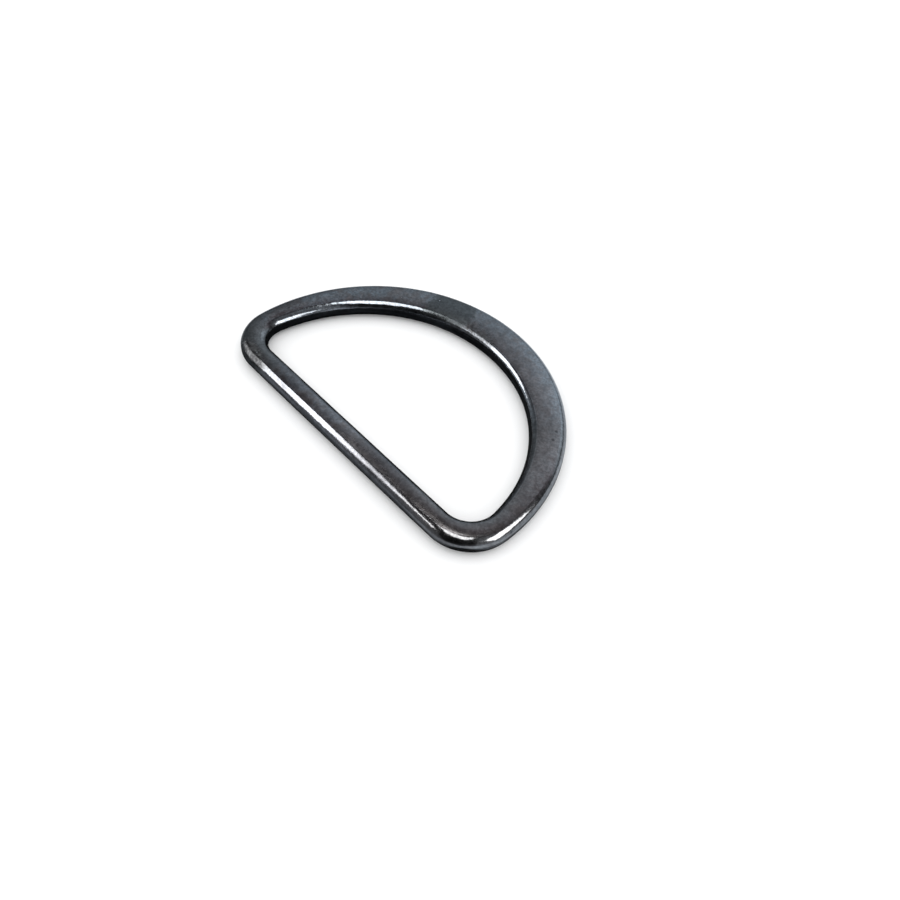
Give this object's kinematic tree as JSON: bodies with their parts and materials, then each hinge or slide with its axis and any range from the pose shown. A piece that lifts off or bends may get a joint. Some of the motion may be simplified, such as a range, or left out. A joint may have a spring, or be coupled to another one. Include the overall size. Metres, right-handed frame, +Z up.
{
  "type": "d ring",
  "caption": "Flat cast D ring with a straight bar, rounded corners and a crescent bow, all edges rounded, for holding a strap and a hook.",
  "frame": {"origin": "centre of the ring's box, on its underside", "axes": "+X along the straight bar, +Y from the bar to the crest of the bow, +Z up through the thickness"},
  "size_m": [0.044, 0.0282, 0.0025],
  "materials": {
    "gunmetal": "dark grey gunmetal plating on cast zinc, satin on the flats and bright on the rounded edges"
  },
  "bodies": {
    "root": {"d_ring": "gunmetal"}
  },
  "joints": []
}
